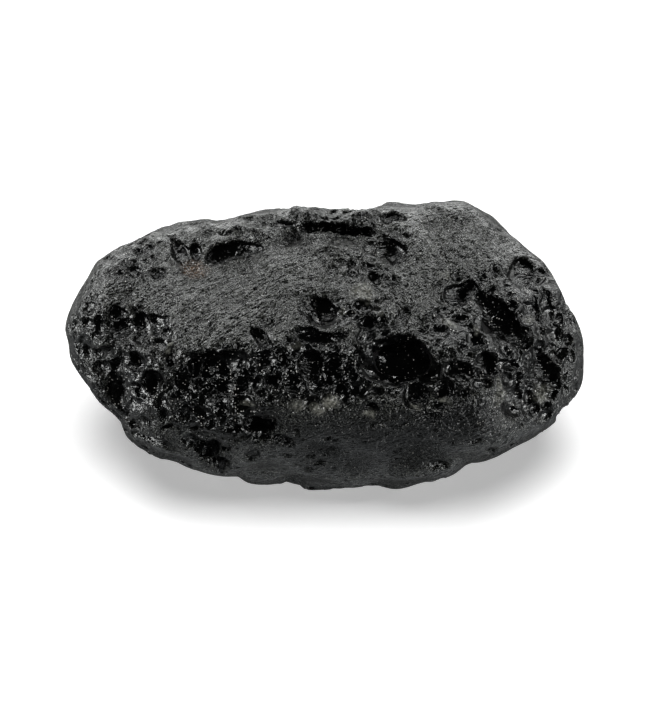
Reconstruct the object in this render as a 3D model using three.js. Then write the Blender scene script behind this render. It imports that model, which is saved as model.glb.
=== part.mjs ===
// A tektite: a lump of black natural glass, about as long as a finger, shaped like a worn loaf.
// It is one solid. Soft-edged worn faces bound the body, broad hollows are pressed into it, and
// the worn flat underneath is what it rests on.
//
// Millimetres, +Z up. The origin is at floor level under the middle of the stone, +X runs along
// its length, and -Y is the side that it is shown from.
import * as THREE from "three";
import { mergeVertices } from "three/addons/utils/BufferGeometryUtils.js";

// ---- Driving dimensions ------------------------------------------------------------------

// The stone's rough half sizes along X, Y and Z, which only space out the grid of triangles.
const HALF_SIZES = [35, 22, 17.5];
// Each edge of the icosahedron that the grid starts from is cut into this many steps.
const GRID_STEPS = 22;
// How far the grid is stretched from even angles (0) towards the half sizes (1), which keeps
// its triangles about equal in size.
const GRID_STRETCH = 0.75;
// Corners of the unit grid that are this close together are one corner.
const SAME_CORNER = 1e-4;

// The stone is shown from in front, by this many degrees above the horizon and from this far.
const SHOWN_FROM_ABOVE = 36;
const SHOWN_FROM_DISTANCE = 450;

// The floor is this far under the middle of the stone, and takes off the lowest of the underside.
const MIDDLE_ABOVE_FLOOR = 17;

// How crisply two worn faces meet: a higher number gives a tighter edge.
const EDGE_CRISPNESS = 18;

// How softly a hollow's rim runs out: a higher number gives a softer rim.
const HOLLOW_SOFTNESS = 1.3;
// A hollow is at its full depth where the cosine of the body's turn from its side is over this.
const FACING_FULLY = 0.35;

// Worn faces round the rim of the shown side. Each is [clock angle in degrees, anticlockwise
// from the right-hand end, distance from the middle of the stone].
const RIM_FACES = [
  [-16, 37.0],
  [0, 38.1],
  [14, 34.4],
  [30, 31.4],
  [47, 30.2],
  [84, 20.0],
  [103, 19.6],
  [136, 31.4],
  [150, 35.8],
  [176, 37.4],
  [193, 37.8],
  [212, 30.4],
  [228, 28.4],
  [247, 22.8],
  [264, 19.6],
  [279, 20.1],
  [295, 23.3],
  [317, 30.8],
];

// The other worn faces. Each is [bearing in degrees from the front towards the right-hand end,
// rise in degrees above the horizon, distance from the middle of the stone].
const OTHER_FACES = [
  [0, 79, 17.6], // the broad flat top
  [-35, 68, 18.8], // the top, falling away to the left
  [30, 70, 18.4], // the top, falling away to the right
  [0, 38, 22.2], // the brow between top and front
  [0, 4, 22.0], // the front
  [0, -28, 19.2], // the smooth chin under the front
  [-46, 14, 29.4], // the left front
  [44, 16, 29.4], // the right front
  [-42, -32, 27.0], // under the left front
  [42, -32, 28.5], // under the right front
  [176, 10, 22.6], // the back
  [-172, -36, 20.0], // under the back
  [-138, -6, 28.2], // the left back
  [140, 4, 28.6], // the right back
  [-128, -42, 24.0], // under the left back
  [132, -46, 23.6], // under the right back
  [175, -64, 18.6], // the heel behind the underside
  [-88, -60, 22.2], // the underside's left end
  [92, -58, 22.8], // the underside's right end
  [0, -90, 18.2], // the underside
];

// Gentle waves in the surface. Each is [wavelength along X, along Y, along Z, phase in degrees,
// height of the wave].
const WAVES = [
  [23, 40, -31, 20, 0.22],
  [-19, 24, 27, 130, 0.18],
  [14, -17, 22, 250, 0.14],
  [-11, -13, 15, 75, 0.1],
];

// Broad hollows, marked on the side from which each is seen. A side is given by the bearing and
// rise that it faces, and a hollow by [right, up, half length, half width, turn in degrees
// anticlockwise, depth], with right and up from the middle of the stone. A swell has a depth
// under 0.
const HOLLOWED_SIDES = [
  {
    bearing: 0,
    rise: SHOWN_FROM_ABOVE,
    hollows: [
      [-14.0, -4.6, 9.5, 4.2, 5, 1.9], // the dark band under the brow: its left,
      [-0.5, -3.6, 8.5, 4.4, -7, 1.5], // its middle,
      [11.4, -3.8, 7.5, 5.0, -18, 2.2], // and its right
      [-5.0, 14.2, 3.6, 2.4, 20, 0.9], // the smooth bowl in the crown
      [1.5, 15.6, 5.4, 1.8, -3, 1.4], // the slit behind it
      [-12.4, 12.6, 4.2, 1.8, 8, 1.3], // the slot in the left of the crown
      [8.5, 12.8, 2.8, 2.1, -20, 1.4], // the pit in the right of the crown
      [-18.2, 11.8, 3.2, 2.6, 50, 0.8], // the stained hollow
      [-0.6, 5.2, 2.9, 2.4, 0, 1.1], // the broken patch in the middle of the top
      [4.8, 8.0, 3.6, 3.0, 20, 0.6],
      [5.1, 1.6, 2.3, 2.0, 0, 1.0],
      [18.2, 7.0, 3.2, 1.9, 14, 1.1],
      [23.6, 3.2, 6.0, 2.0, -43, 2.0], // the deep channel at the right
      [26.4, 9.8, 2.6, 2.1, -10, 1.2],
      [30.2, 4.2, 2.6, 2.2, -40, 0.9],
      [29.4, -2.8, 3.4, 2.4, -65, 1.5],
      [26.9, -7.6, 3.4, 3.0, 10, 1.0], // the swirled hollow at the lower right
      [21.4, -2.2, 2.8, 2.2, 15, 1.2],
      [10.8, -1.6, 4.6, 3.0, -25, 2.8], // the black hollow under the brow
      [13.8, -6.6, 4.0, 2.4, 0, 1.7], // the pair of round pits
      [-0.5, 1.2, 4.4, 1.8, -8, 1.0], // the lens under the brow
      [-2.2, -3.4, 3.4, 2.3, 5, 2.0],
      [-15.4, -2.8, 5.6, 2.2, 4, 2.4],
      [-9.6, -10.8, 3.4, 2.0, -6, 1.4],
      [-16.4, -14.2, 4.2, 2.2, -32, 1.8], // the long hollow at the lower left
      [-26.0, 2.6, 5.2, 3.0, -14, 1.0], // the pitted left end
      [-28.6, -4.6, 2.2, 4.6, 12, 1.3],
      [-23.4, -5.4, 2.8, 2.6, 0, 1.0],
    ],
  },
  {
    bearing: 180,
    rise: 90 - SHOWN_FROM_ABOVE,
    hollows: [
      [-1.0, 0.5, 8.0, 8.0, 0, 2.2], // the dip in the crest
      [23.0, 1.0, 5.0, 8.0, 0, -0.8], // the shoulder at its left-hand end
      [-20.0, 1.0, 6.0, 8.0, 0, -0.7], // the shoulder at its right-hand end
    ],
  },
  {
    bearing: 180,
    rise: 15,
    hollows: [
      [-17.0, 5.5, 4.2, 3.0, 25, 1.5],
      [-6.5, -3.5, 5.2, 2.6, -18, 1.7],
      [5.5, 6.5, 3.4, 2.6, 30, 1.3],
      [14.5, -1.5, 4.6, 2.8, 12, 1.6],
      [23.5, 5.0, 3.0, 2.4, -35, 1.1],
      [-25.5, -4.5, 3.0, 2.8, 50, 1.2],
      [1.0, -11.0, 4.0, 1.9, 5, 1.2],
      [-15.0, -10.5, 3.0, 2.2, -20, 1.1],
      [19.0, -10.0, 3.2, 2.0, 28, 1.1],
    ],
  },
  {
    bearing: -90,
    rise: 5,
    hollows: [
      [-8.0, -5.5, 3.0, 2.2, 20, 1.0],
      [9.5, 2.0, 3.0, 2.6, -30, 1.2],
      [1.5, 6.5, 2.6, 2.0, 0, 0.8],
      [6.0, -9.0, 3.2, 1.8, 15, 0.9],
    ],
  },
  {
    bearing: 90,
    rise: 5,
    hollows: [
      [-10.0, 4.0, 2.8, 2.2, -15, 1.1],
      [3.5, -4.0, 3.6, 2.4, 35, 1.3],
      [9.0, 7.0, 2.8, 2.2, 0, 1.0],
      [-5.5, -9.5, 2.8, 2.0, -20, 0.9],
    ],
  },
  {
    bearing: 0,
    rise: -90,
    hollows: [
      [-24.0, 2.0, 3.6, 2.8, 20, 1.4],
      [23.0, -3.5, 3.8, 2.4, -35, 1.4],
      [-20.0, 11.0, 3.2, 2.2, 0, 1.1],
      [17.0, 12.0, 3.4, 2.4, 15, 1.2],
    ],
  },
];

// ---- Directions --------------------------------------------------------------------------

// The unit vectors of a side of the stone: towards someone looking at it, to their right, and up.
function sideAxes(bearingDegrees, riseDegrees) {
  const bearing = THREE.MathUtils.degToRad(bearingDegrees);
  const rise = THREE.MathUtils.degToRad(riseDegrees);
  const towards = new THREE.Vector3(
    Math.sin(bearing) * Math.cos(rise),
    -Math.cos(bearing) * Math.cos(rise),
    Math.sin(rise),
  );
  const right = new THREE.Vector3(Math.cos(bearing), Math.sin(bearing), 0);
  const up = new THREE.Vector3().crossVectors(towards, right);
  return { towards, right, up };
}

const SHOWN = sideAxes(0, SHOWN_FROM_ABOVE);

function rimNormal(clockDegrees) {
  const angle = THREE.MathUtils.degToRad(clockDegrees);
  return new THREE.Vector3()
    .addScaledVector(SHOWN.right, Math.cos(angle))
    .addScaledVector(SHOWN.up, Math.sin(angle));
}

const WORN_FACES = [
  ...RIM_FACES.map(([clock, distance]) => ({ normal: rimNormal(clock), distance })),
  ...OTHER_FACES.map(([bearing, rise, distance]) => ({
    normal: sideAxes(bearing, rise).towards,
    distance,
  })),
];

// ---- The body ----------------------------------------------------------------------------

// The point where the worn body ends in a direction, and which way it faces there. The faces'
// planes are blended, so that they meet in rounded edges.
function bodySurface(direction) {
  let sum = 0;
  const normal = new THREE.Vector3();
  for (const face of WORN_FACES) {
    const facing = direction.dot(face.normal) / face.distance;
    if (facing <= 0) continue;
    sum += facing ** EDGE_CRISPNESS;
    normal.addScaledVector(face.normal, facing ** (EDGE_CRISPNESS - 1) / face.distance);
  }
  return {
    point: direction.clone().multiplyScalar(sum ** (-1 / EDGE_CRISPNESS)),
    normal: normal.normalize(),
  };
}

function waveHeight(point) {
  let height = 0;
  for (const [alongX, alongY, alongZ, phase, size] of WAVES) {
    const turns = point.x / alongX + point.y / alongY + point.z / alongZ + phase / 360;
    height += size * Math.sin(2 * Math.PI * turns);
  }
  return height;
}

// How deep a hollow is at a place seen across its side: a bowl with a soft rim.
function hollowDepth([right, up, halfLength, halfWidth, turn, depth], seenRight, seenUp) {
  const angle = THREE.MathUtils.degToRad(turn);
  const across = seenRight - right;
  const above = seenUp - up;
  const along = (across * Math.cos(angle) + above * Math.sin(angle)) / halfLength;
  const aside = (above * Math.cos(angle) - across * Math.sin(angle)) / halfWidth;
  const inside = 1 - along ** 2 - aside ** 2;
  return inside > 0 ? depth * inside ** HOLLOW_SOFTNESS : 0;
}

const SIDES = HOLLOWED_SIDES.map(({ bearing, rise, hollows }) => ({
  ...sideAxes(bearing, rise),
  hollows,
}));

// How far a point of the body is pressed in by the deepest hollow there, less the highest swell.
// A side's hollows fade out where the body turns away from that side.
function pressedDepth(point, normal) {
  let deepest = 0;
  let highest = 0;
  for (const { towards, right, up, hollows } of SIDES) {
    const facing = THREE.MathUtils.smoothstep(normal.dot(towards), 0, FACING_FULLY);
    const nearness = SHOWN_FROM_DISTANCE / (SHOWN_FROM_DISTANCE - point.dot(towards));
    const seenRight = point.dot(right) * nearness;
    const seenUp = point.dot(up) * nearness;
    for (const hollow of hollows) {
      const depth = facing * hollowDepth(hollow, seenRight, seenUp);
      deepest = Math.max(deepest, depth);
      highest = Math.max(highest, -depth);
    }
  }
  return deepest - highest;
}

function stoneGeometry() {
  const grid = new THREE.IcosahedronGeometry(1, GRID_STEPS - 1);
  grid.deleteAttribute("normal");
  grid.deleteAttribute("uv");
  const geometry = mergeVertices(grid, SAME_CORNER);
  const position = geometry.getAttribute("position");
  const stretch = new THREE.Vector3(...HALF_SIZES.map((half) => half ** GRID_STRETCH));
  const direction = new THREE.Vector3();
  for (let i = 0; i < position.count; i++) {
    direction.fromBufferAttribute(position, i).multiply(stretch).normalize();
    const { point, normal } = bodySurface(direction);
    const raised = waveHeight(point) - pressedDepth(point, normal);
    point.addScaledVector(normal, raised);
    position.setXYZ(i, point.x, point.y, Math.max(point.z + MIDDLE_ABOVE_FLOOR, 0));
  }
  geometry.computeBoundingBox();
  const middle = geometry.boundingBox.getCenter(new THREE.Vector3());
  geometry.translate(-middle.x, -middle.y, 0);
  return geometry;
}

const tektite = new THREE.Mesh(
  stoneGeometry(),
  new THREE.MeshStandardMaterial({ color: 0x1a1b1b, roughness: 0.45, metalness: 0 }),
);
tektite.name = "tektite";

const stone = new THREE.Group();
stone.add(tektite);

export default stone;
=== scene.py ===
import math

import bmesh
import bpy
import numpy as np
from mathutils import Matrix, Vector, kdtree


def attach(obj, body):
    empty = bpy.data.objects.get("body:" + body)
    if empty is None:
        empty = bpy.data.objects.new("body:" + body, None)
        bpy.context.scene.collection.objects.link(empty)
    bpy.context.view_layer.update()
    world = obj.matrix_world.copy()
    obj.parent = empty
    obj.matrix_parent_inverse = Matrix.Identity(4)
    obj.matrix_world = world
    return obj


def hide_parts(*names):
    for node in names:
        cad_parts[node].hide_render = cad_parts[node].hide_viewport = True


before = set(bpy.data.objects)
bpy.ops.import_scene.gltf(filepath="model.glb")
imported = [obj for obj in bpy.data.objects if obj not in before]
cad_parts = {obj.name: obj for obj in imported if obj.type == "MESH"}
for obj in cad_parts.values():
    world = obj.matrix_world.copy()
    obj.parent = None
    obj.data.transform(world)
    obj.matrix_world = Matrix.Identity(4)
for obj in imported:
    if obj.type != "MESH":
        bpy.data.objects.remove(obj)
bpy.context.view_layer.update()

# The look of a tektite: a lump of black natural glass with a weathered, pitted skin. Shapes here
# are in millimetres until the mesh is made, and the mesh is in metres.

MM = 0.001
SEED = 20361

# ---- Where the marks are given from --------------------------------------------------------
# The middle that the stone's marks are measured from, in the row frame.
MIDDLE = np.array([0.32, -0.64, 17.0])
# The stone is shown from in front, by this many degrees above the horizon and from this far.
SHOWN_FROM_ABOVE = 36.0
SHOWN_FROM_DISTANCE = 450.0
# Unit vectors towards someone looking at the shown side, to their right, and up.
RISE = math.radians(SHOWN_FROM_ABOVE)
TOWARDS = np.array([0.0, -math.cos(RISE), math.sin(RISE)])
RIGHT = np.array([1.0, 0.0, 0.0])
UP = np.array([0.0, math.sin(RISE), math.cos(RISE)])

# ---- The fineness of the mesh --------------------------------------------------------------
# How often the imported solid's triangles are divided in four.
ROUNDS_OF_DIVIDING = 3
# The finished mesh has at most this many triangles.
MOST_TRIANGLES = 194_000

# ---- Marks of the shown side ---------------------------------------------------------------
# Each pit is [right, up, half length, half width, turn in degrees anticlockwise, depth], as seen
# from where the stone is shown, in millimetres.
PITS = [
    # The crown, at the left: a round pit, the stained pit and the long slot.
    [-19.8, 12.8, 1.3, 1.7, 0, 1.1],
    [-20.2, 14.3, 0.8, 0.5, -20, 0.7],
    [-17.7, 12.8, 0.9, 1.2, 0, 1.2],
    [-20.1, 11.3, 0.4, 0.4, 0, 0.5],
    [-18.2, 10.5, 1.8, 1.2, -15, 0.35],
    [-17.5, 10.4, 1.0, 0.5, 0, 0.5],
    [-17.0, 9.6, 0.8, 0.6, 0, 0.3],
    [-12.0, 13.0, 3.7, 0.95, 8, 1.4],
    [-14.4, 12.6, 1.6, 1.1, 25, 1.7],
    [-15.6, 11.5, 0.8, 0.6, 10, 0.5],
    [-11.1, 14.8, 1.3, 0.7, -5, 0.45],
    [-8.0, 14.3, 1.3, 0.35, -5, 0.25],
    [-13.6, 15.3, 1.1, 0.36, 0, 0.7],
    [-15.8, 15.2, 0.9, 0.5, 0, 0.4],
    [-18.4, 16.2, 1.5, 0.7, 5, 0.6],
    [-22.8, 15.2, 0.8, 0.6, 20, 0.35],
    [-10.2, 17.4, 1.9, 0.5, 5, 0.5],
    # The crown, in the middle: the smooth bowl and the deep slit behind it.
    [-5.7, 16.8, 1.6, 0.6, 5, 1.0],
    [-8.2, 17.2, 1.0, 0.6, 10, 0.5],
    [-0.9, 15.9, 2.8, 0.6, 0, 2.2],
    [3.6, 15.7, 3.0, 0.65, -3, 2.2],
    [5.5, 15.6, 1.1, 0.75, -15, 1.9],
    [-0.6, 17.2, 0.9, 0.5, 0, 0.6],
    [1.1, 17.7, 0.95, 0.8, 0, 1.5],
    [-2.5, 18.4, 0.8, 0.35, 0, 0.6],
    [-3.6, 17.4, 0.5, 0.5, 0, 0.4],
    [2.9, 18.2, 0.6, 0.4, 0, 0.5],
    [-0.6, 12.6, 1.5, 0.55, 15, 0.5],
    [0.9, 13.7, 1.0, 0.4, 0, 0.4],
    [3.2, 14.2, 1.4, 0.35, -10, 0.35],
    # The crown, at the right.
    [9.2, 17.4, 1.7, 0.6, 14, 1.2],
    [7.3, 16.5, 0.4, 0.35, 0, 0.35],
    [11.1, 15.1, 0.75, 0.4, -10, 0.8],
    [9.3, 15.3, 1.7, 0.7, 0, 0.4],
    [5.9, 13.4, 1.1, 0.7, -15, 0.8],
    [7.5, 13.2, 1.2, 1.1, 0, 0.9],
    [9.3, 12.7, 1.15, 1.6, 10, 1.6],
    [8.2, 14.3, 1.2, 0.45, -10, 0.7],
    [13.2, 18.7, 0.9, 0.4, 0, 0.4],
    [15.1, 18.4, 1.0, 0.4, 0, 0.6],
    [14.6, 16.2, 1.7, 0.6, 6, 0.22],
    [15.7, 16.1, 0.7, 0.25, 8, 0.3],
    [23.7, 14.2, 0.4, 0.6, 0, 0.35],
    [21.3, 14.6, 0.7, 0.4, 30, 0.25],
    [23.6, 15.4, 0.6, 0.4, 0, 0.3],
    # The left end above the cluster.
    [-23.0, 10.0, 1.0, 0.75, 0, 0.8],
    [-27.8, 12.4, 0.9, 0.5, -30, 0.4],
    [-27.3, 11.2, 0.45, 0.4, 0, 0.4],
    [-28.7, 11.3, 0.6, 0.45, 0, 0.4],
    [-25.5, 12.5, 0.6, 0.5, 0, 0.5],
    [-26.3, 11.1, 0.5, 0.4, 0, 0.4],
    [-23.5, 12.3, 0.5, 0.4, 0, 0.5],
    [-24.1, 14.0, 0.7, 0.35, 0, 0.3],
    [-25.0, 8.8, 0.5, 0.5, 0, 0.3],
    [-31.6, 6.7, 0.6, 0.6, 0, 0.5],
    [-32.0, 5.7, 0.6, 0.4, 0, 0.5],
    [-30.6, 5.5, 0.5, 0.45, 0, 0.4],
    [-26.5, 7.2, 0.7, 0.6, 0, 0.35],
    [-26.2, 6.1, 0.8, 0.9, 0, 0.25],
    # The cluster of pits on the left end.
    [-28.3, 4.5, 1.15, 1.35, 0, 1.4],
    [-30.9, 2.4, 1.25, 1.9, 0, 1.4],
    [-29.3, 2.6, 0.7, 1.0, 0, 0.8],
    [-27.6, 2.1, 1.3, 1.9, -10, 1.5],
    [-25.2, 2.3, 1.15, 2.0, 0, 1.6],
    [-23.1, 2.8, 1.1, 1.4, 10, 1.2],
    [-21.9, 2.9, 0.6, 0.9, 0, 0.8],
    [-26.1, 4.6, 0.65, 0.6, 0, 0.6],
    [-24.9, 4.8, 0.6, 0.35, 0, 0.5],
    [-22.2, 0.4, 1.1, 0.95, 0, 1.1],
    [-29.4, 0.6, 0.6, 0.8, 0, 0.5],
    [-23.8, 0.2, 0.7, 0.8, 0, 0.7],
    [-32.9, 0.8, 0.5, 1.0, 0, 0.4],
    [-32.6, 3.4, 0.5, 0.7, 0, 0.4],
    # Under the cluster, down the left end: round pits and a long channel.
    [-30.1, -1.2, 1.4, 1.3, -10, 1.5],
    [-28.6, -2.7, 0.9, 1.3, 0, 1.2],
    [-30.9, -3.0, 0.8, 0.9, 0, 0.7],
    [-25.9, -2.2, 1.5, 1.7, 0, 1.8],
    [-26.3, -0.4, 0.8, 0.6, 0, 0.6],
    [-23.7, -4.9, 1.6, 1.6, -10, 1.4],
    [-21.5, -1.9, 0.95, 1.4, 0, 1.0],
    [-22.9, -1.2, 0.7, 0.9, 0, 0.7],
    [-28.4, -6.6, 3.4, 1.1, -76, 1.7],
    [-29.4, -4.6, 0.7, 0.9, 0, 0.6],
    [-27.4, -9.0, 1.0, 1.2, 0, 1.2],
    [-25.7, -6.2, 1.7, 0.9, -35, 1.1],
    [-25.3, -8.2, 1.3, 0.9, -25, 0.6],
    [-24.6, -10.2, 0.9, 0.7, 0, 0.6],
    [-26.3, -10.6, 0.9, 0.6, -20, 0.8],
    [-22.3, -9.2, 0.9, 1.3, 20, 0.8],
    [-21.6, -11.0, 1.1, 0.6, 10, 0.8],
    [-23.4, -13.1, 3.9, 0.6, -24, 0.9],
    # The dark band under the brow, at the left.
    [-14.6, -2.1, 5.2, 1.6, 1, 1.3],
    [-17.9, -2.8, 1.3, 1.4, 0, 1.6],
    [-16.0, -2.9, 1.0, 1.3, 0, 1.5],
    [-13.9, -2.7, 1.4, 1.2, 0, 1.3],
    [-11.6, -2.0, 1.3, 1.4, 0, 1.0],
    [-19.4, -5.5, 1.7, 1.9, 0, 1.6],
    [-16.7, -5.6, 1.2, 1.0, 0, 0.9],
    [-14.2, -5.7, 1.6, 1.3, 0, 1.1],
    [-11.3, -5.2, 1.2, 1.1, 0, 0.9],
    [-11.3, -8.2, 2.0, 1.8, 0, 1.2],
    [-14.2, -8.4, 1.1, 0.9, 0, 0.7],
    [-17.2, -8.9, 1.9, 1.3, 0, 1.1],
    [-19.7, -9.4, 1.0, 1.1, 0, 0.7],
    [-15.7, -10.9, 0.9, 0.7, 0, 0.6],
    [-18.2, -11.2, 1.1, 0.6, 0, 0.6],
    [-12.9, -11.2, 1.2, 0.8, 0, 0.7],
    [-18.4, -13.2, 1.6, 1.2, -10, 1.0],
    [-16.2, -14.3, 1.9, 1.6, -20, 1.8],
    [-14.4, -16.1, 1.4, 0.8, -25, 1.1],
    [-13.8, -14.0, 0.8, 0.6, 0, 0.7],
    # The brow itself: the diagonal slot, the lens and the ringed pit.
    [-16.7, 0.1, 0.8, 0.3, 5, 0.4],
    [-13.6, 0.6, 0.7, 0.25, 0, 0.3],
    [-11.4, -0.2, 0.9, 0.4, -10, 0.4],
    [-17.5, 3.5, 0.4, 0.22, 0, 0.2],
    [-15.6, 2.7, 0.7, 0.5, -10, 0.4],
    [-11.0, 10.2, 1.0, 0.9, -20, 0.35],
    [-8.0, 2.9, 1.1, 0.9, -20, 0.55],
    [-8.6, 1.0, 2.1, 0.95, -42, 1.8],
    [-8.2, -1.7, 1.4, 1.5, 0, 1.1],
    [-1.0, 1.2, 3.3, 1.1, -6, 1.7],
    [-4.5, 1.9, 1.2, 0.4, 20, 0.6],
    [2.1, 1.6, 1.15, 0.5, -8, 0.9],
    [5.5, 1.5, 1.15, 1.5, 0, 1.2],
    [3.4, -0.3, 1.1, 0.6, 0, 0.7],
    [7.6, 0.3, 1.5, 1.1, 0, 1.2],
    # The broken patch in the middle of the top.
    [-0.3, 5.5, 1.9, 1.2, -25, 2.0],
    [-0.4, 3.9, 1.8, 1.2, -5, 1.5],
    [-2.9, 5.2, 1.3, 0.9, -40, 0.7],
    [-0.9, 4.6, 3.2, 1.9, -38, 0.8],
    [3.2, 4.1, 1.3, 1.1, 0, 1.4],
    [5.1, 5.3, 1.4, 0.9, 0, 1.3],
    [5.2, 3.1, 1.5, 1.1, 0, 1.9],
    [7.2, 3.1, 1.2, 1.2, 0, 1.3],
    [6.6, 5.1, 0.6, 0.4, 0, 0.5],
    [8.9, 2.8, 0.7, 0.5, 0, 0.8],
    [7.3, 6.2, 0.9, 0.3, -10, 0.5],
    [10.5, 4.6, 1.1, 0.4, 0, 0.6],
    [-0.6, 9.1, 0.5, 0.4, 0, 0.3],
    [-0.6, 7.8, 0.6, 0.9, 0, 0.35],
    [-3.2, 7.3, 1.3, 0.5, 10, 0.3],
    [3.7, 10.8, 1.2, 0.65, -10, 0.8],
    [5.9, 10.7, 0.9, 0.6, -10, 0.8],
    [0.8, 10.3, 0.9, 0.5, -30, 0.7],
    [1.5, 11.1, 1.1, 0.6, 0, 0.5],
    [7.4, 10.4, 0.9, 0.6, 0, 0.5],
    [6.5, 9.2, 1.0, 0.6, -38, 1.1],
    [8.0, 9.2, 1.1, 0.9, 0, 0.5],
    [8.7, 8.6, 0.4, 1.0, 15, 0.7],
    [-0.2, 7.4, 0.5, 1.0, 0, 0.5],
    [10.5, 3.6, 1.1, 1.2, 0, 1.0],
    [9.5, 2.7, 0.5, 0.45, 0, 0.4],
    # The dark band, in the middle.
    [-4.0, -1.2, 1.4, 0.9, 10, 0.6],
    [-2.1, -2.9, 1.9, 1.9, 0, 1.6],
    [-5.8, -2.6, 1.2, 1.0, 0, 0.9],
    [-7.0, -4.7, 1.1, 1.1, 0, 0.9],
    [0.6, -2.0, 1.0, 0.8, 0, 0.8],
    [1.7, -3.9, 1.0, 0.9, 0, 0.8],
    [2.2, -6.0, 1.3, 1.3, 0, 1.0],
    [-0.8, -5.9, 1.5, 1.1, 0, 0.9],
    [-4.4, -6.0, 1.5, 1.0, 0, 0.8],
    [-7.5, -7.4, 1.1, 0.9, 0, 0.8],
    [-9.6, -5.6, 0.9, 0.9, 0, 0.7],
    [4.8, -6.3, 1.2, 1.0, 0, 0.8],
    [6.9, -6.2, 1.1, 0.8, 0, 0.9],
    [9.3, -6.4, 1.1, 0.9, 0, 0.7],
    [6.0, -9.0, 1.5, 1.0, -3, 1.2],
    # The chin and the hollows at its left.
    [-9.3, -10.9, 2.5, 1.3, -5, 1.5],
    [-5.8, -12.6, 1.7, 0.8, -10, 1.0],
    [-9.9, -15.2, 1.3, 1.0, -10, 0.8],
    [-5.4, -14.9, 0.9, 0.4, 0, 0.5],
    [-3.8, -11.6, 0.6, 0.4, -15, 0.5],
    [-1.7, -14.8, 0.6, 0.35, 10, 0.5],
    [-0.8, -15.9, 0.9, 0.28, 12, 0.4],
    [0.6, -14.2, 0.8, 0.5, 20, 0.4],
    [0.4, -12.3, 0.5, 0.3, 0, 0.3],
    [1.2, -12.7, 0.5, 0.3, 20, 0.3],
    [-2.5, -16.9, 0.7, 0.55, 0, 0.5],
    [3.2, -16.0, 0.35, 0.22, 0, 0.2],
    [9.5, -15.4, 0.6, 0.2, 10, 0.25],
    [15.2, -16.2, 1.5, 0.9, -15, 0.8],
    [20.0, -12.8, 0.9, 0.4, 20, 0.6],
    [22.6, -13.9, 0.9, 0.6, 45, 0.6],
    # The pair of round pits and what is beside them.
    [12.2, -7.2, 1.85, 2.35, 0, 2.1],
    [15.8, -6.0, 1.6, 1.7, 0, 1.7],
    [15.3, -8.1, 1.1, 0.8, 0, 0.9],
    [14.8, -9.5, 1.1, 0.5, 0, 0.4],
    [18.1, -3.5, 2.0, 1.6, -5, 1.7],
    [15.4, -3.1, 0.9, 0.8, 0, 0.7],
    [18.7, -6.3, 1.4, 0.8, 0, 0.7],
    [21.4, -5.2, 1.7, 0.9, -5, 0.9],
    [21.8, -2.6, 1.8, 1.75, 0, 1.5],
    [20.2, 0.6, 1.35, 1.8, 0, 1.6],
    [18.2, 1.4, 0.9, 0.9, 0, 0.4],
    [15.4, 1.6, 1.6, 0.8, -15, 0.9],
    [16.4, 3.8, 1.0, 1.1, 0, 0.9],
    [14.3, 3.6, 0.7, 0.7, 0, 0.6],
    [18.2, 3.4, 1.4, 1.4, 0, 1.2],
    [12.8, 2.9, 0.9, 0.5, 5, 0.5],
    # The upper right, and the deep channel.
    [15.2, 8.2, 0.8, 0.7, 0, 0.6],
    [14.8, 7.1, 0.8, 1.2, 15, 0.4],
    [18.2, 7.2, 2.1, 1.6, 5, 1.7],
    [22.3, 9.6, 0.8, 0.4, -25, 0.8],
    [26.2, 9.9, 1.8, 1.8, -20, 1.7],
    [28.9, 9.6, 1.1, 1.2, -10, 1.3],
    [24.6, 7.9, 1.2, 0.5, 10, 0.5],
    [27.6, 7.3, 1.5, 0.7, -5, 0.6],
    [23.9, 3.6, 4.9, 1.5, -46, 2.4],
    [21.2, 6.2, 1.6, 1.1, -20, 1.6],
    [22.4, 7.5, 0.9, 0.4, 30, 0.9],
    [22.5, 3.2, 1.3, 1.3, 0, 1.4],
    [25.0, 1.4, 1.6, 1.1, -25, 1.3],
    [24.8, 5.3, 0.9, 0.8, 0, 0.9],
    [27.6, 4.2, 1.5, 1.8, 0, 1.2],
    [30.6, 4.0, 1.45, 1.6, 0, 1.4],
    [32.6, 4.3, 0.8, 0.8, -20, 0.9],
    [33.0, 2.2, 0.4, 0.7, 0, 0.35],
    [31.0, 1.2, 1.45, 1.4, 0, 1.1],
    [29.0, 1.5, 0.9, 1.2, 0, 0.8],
    # The right end and the swirled hollow.
    [30.0, -2.8, 1.8, 1.8, 0, 1.8],
    [28.4, -1.0, 1.2, 0.8, 0, 0.9],
    [28.5, -4.4, 0.9, 1.3, 0, 1.0],
    [25.3, -3.0, 1.4, 1.1, 0, 1.3],
    [24.8, -4.9, 1.0, 0.9, 0, 1.0],
    [32.3, -1.3, 0.8, 1.0, 0, 0.8],
    [31.2, -5.2, 1.1, 0.9, 0, 0.9],
    [30.6, -7.0, 1.2, 0.8, 10, 0.9],
    [33.9, -0.6, 0.4, 0.6, 0, 0.5],
    [25.0, -7.4, 1.5, 2.1, 0, 1.1],
    [27.3, -7.2, 1.3, 1.2, 0, 1.1],
    [29.0, -6.2, 1.0, 0.9, 0, 0.8],
    [29.4, -8.4, 1.0, 0.7, 20, 0.7],
    [25.3, -9.1, 1.2, 0.8, 10, 0.8],
    [27.8, -9.0, 1.0, 0.7, 0, 0.8],
]

# What the pits above are like on level ground and on steep ground. Their depth is this share of
# the depth given. A roundness near 0 gives a flat floor and a steep wall, near 1 an even bowl. A
# lean above 0 makes the floor deepest near the upper rim, and below 0 near the lower rim.
PIT_DEPTH = (0.62, 0.88)
PIT_ROUNDNESS = (0.30, 0.95)
PIT_LEAN = (0.1, 0.45)

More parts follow.
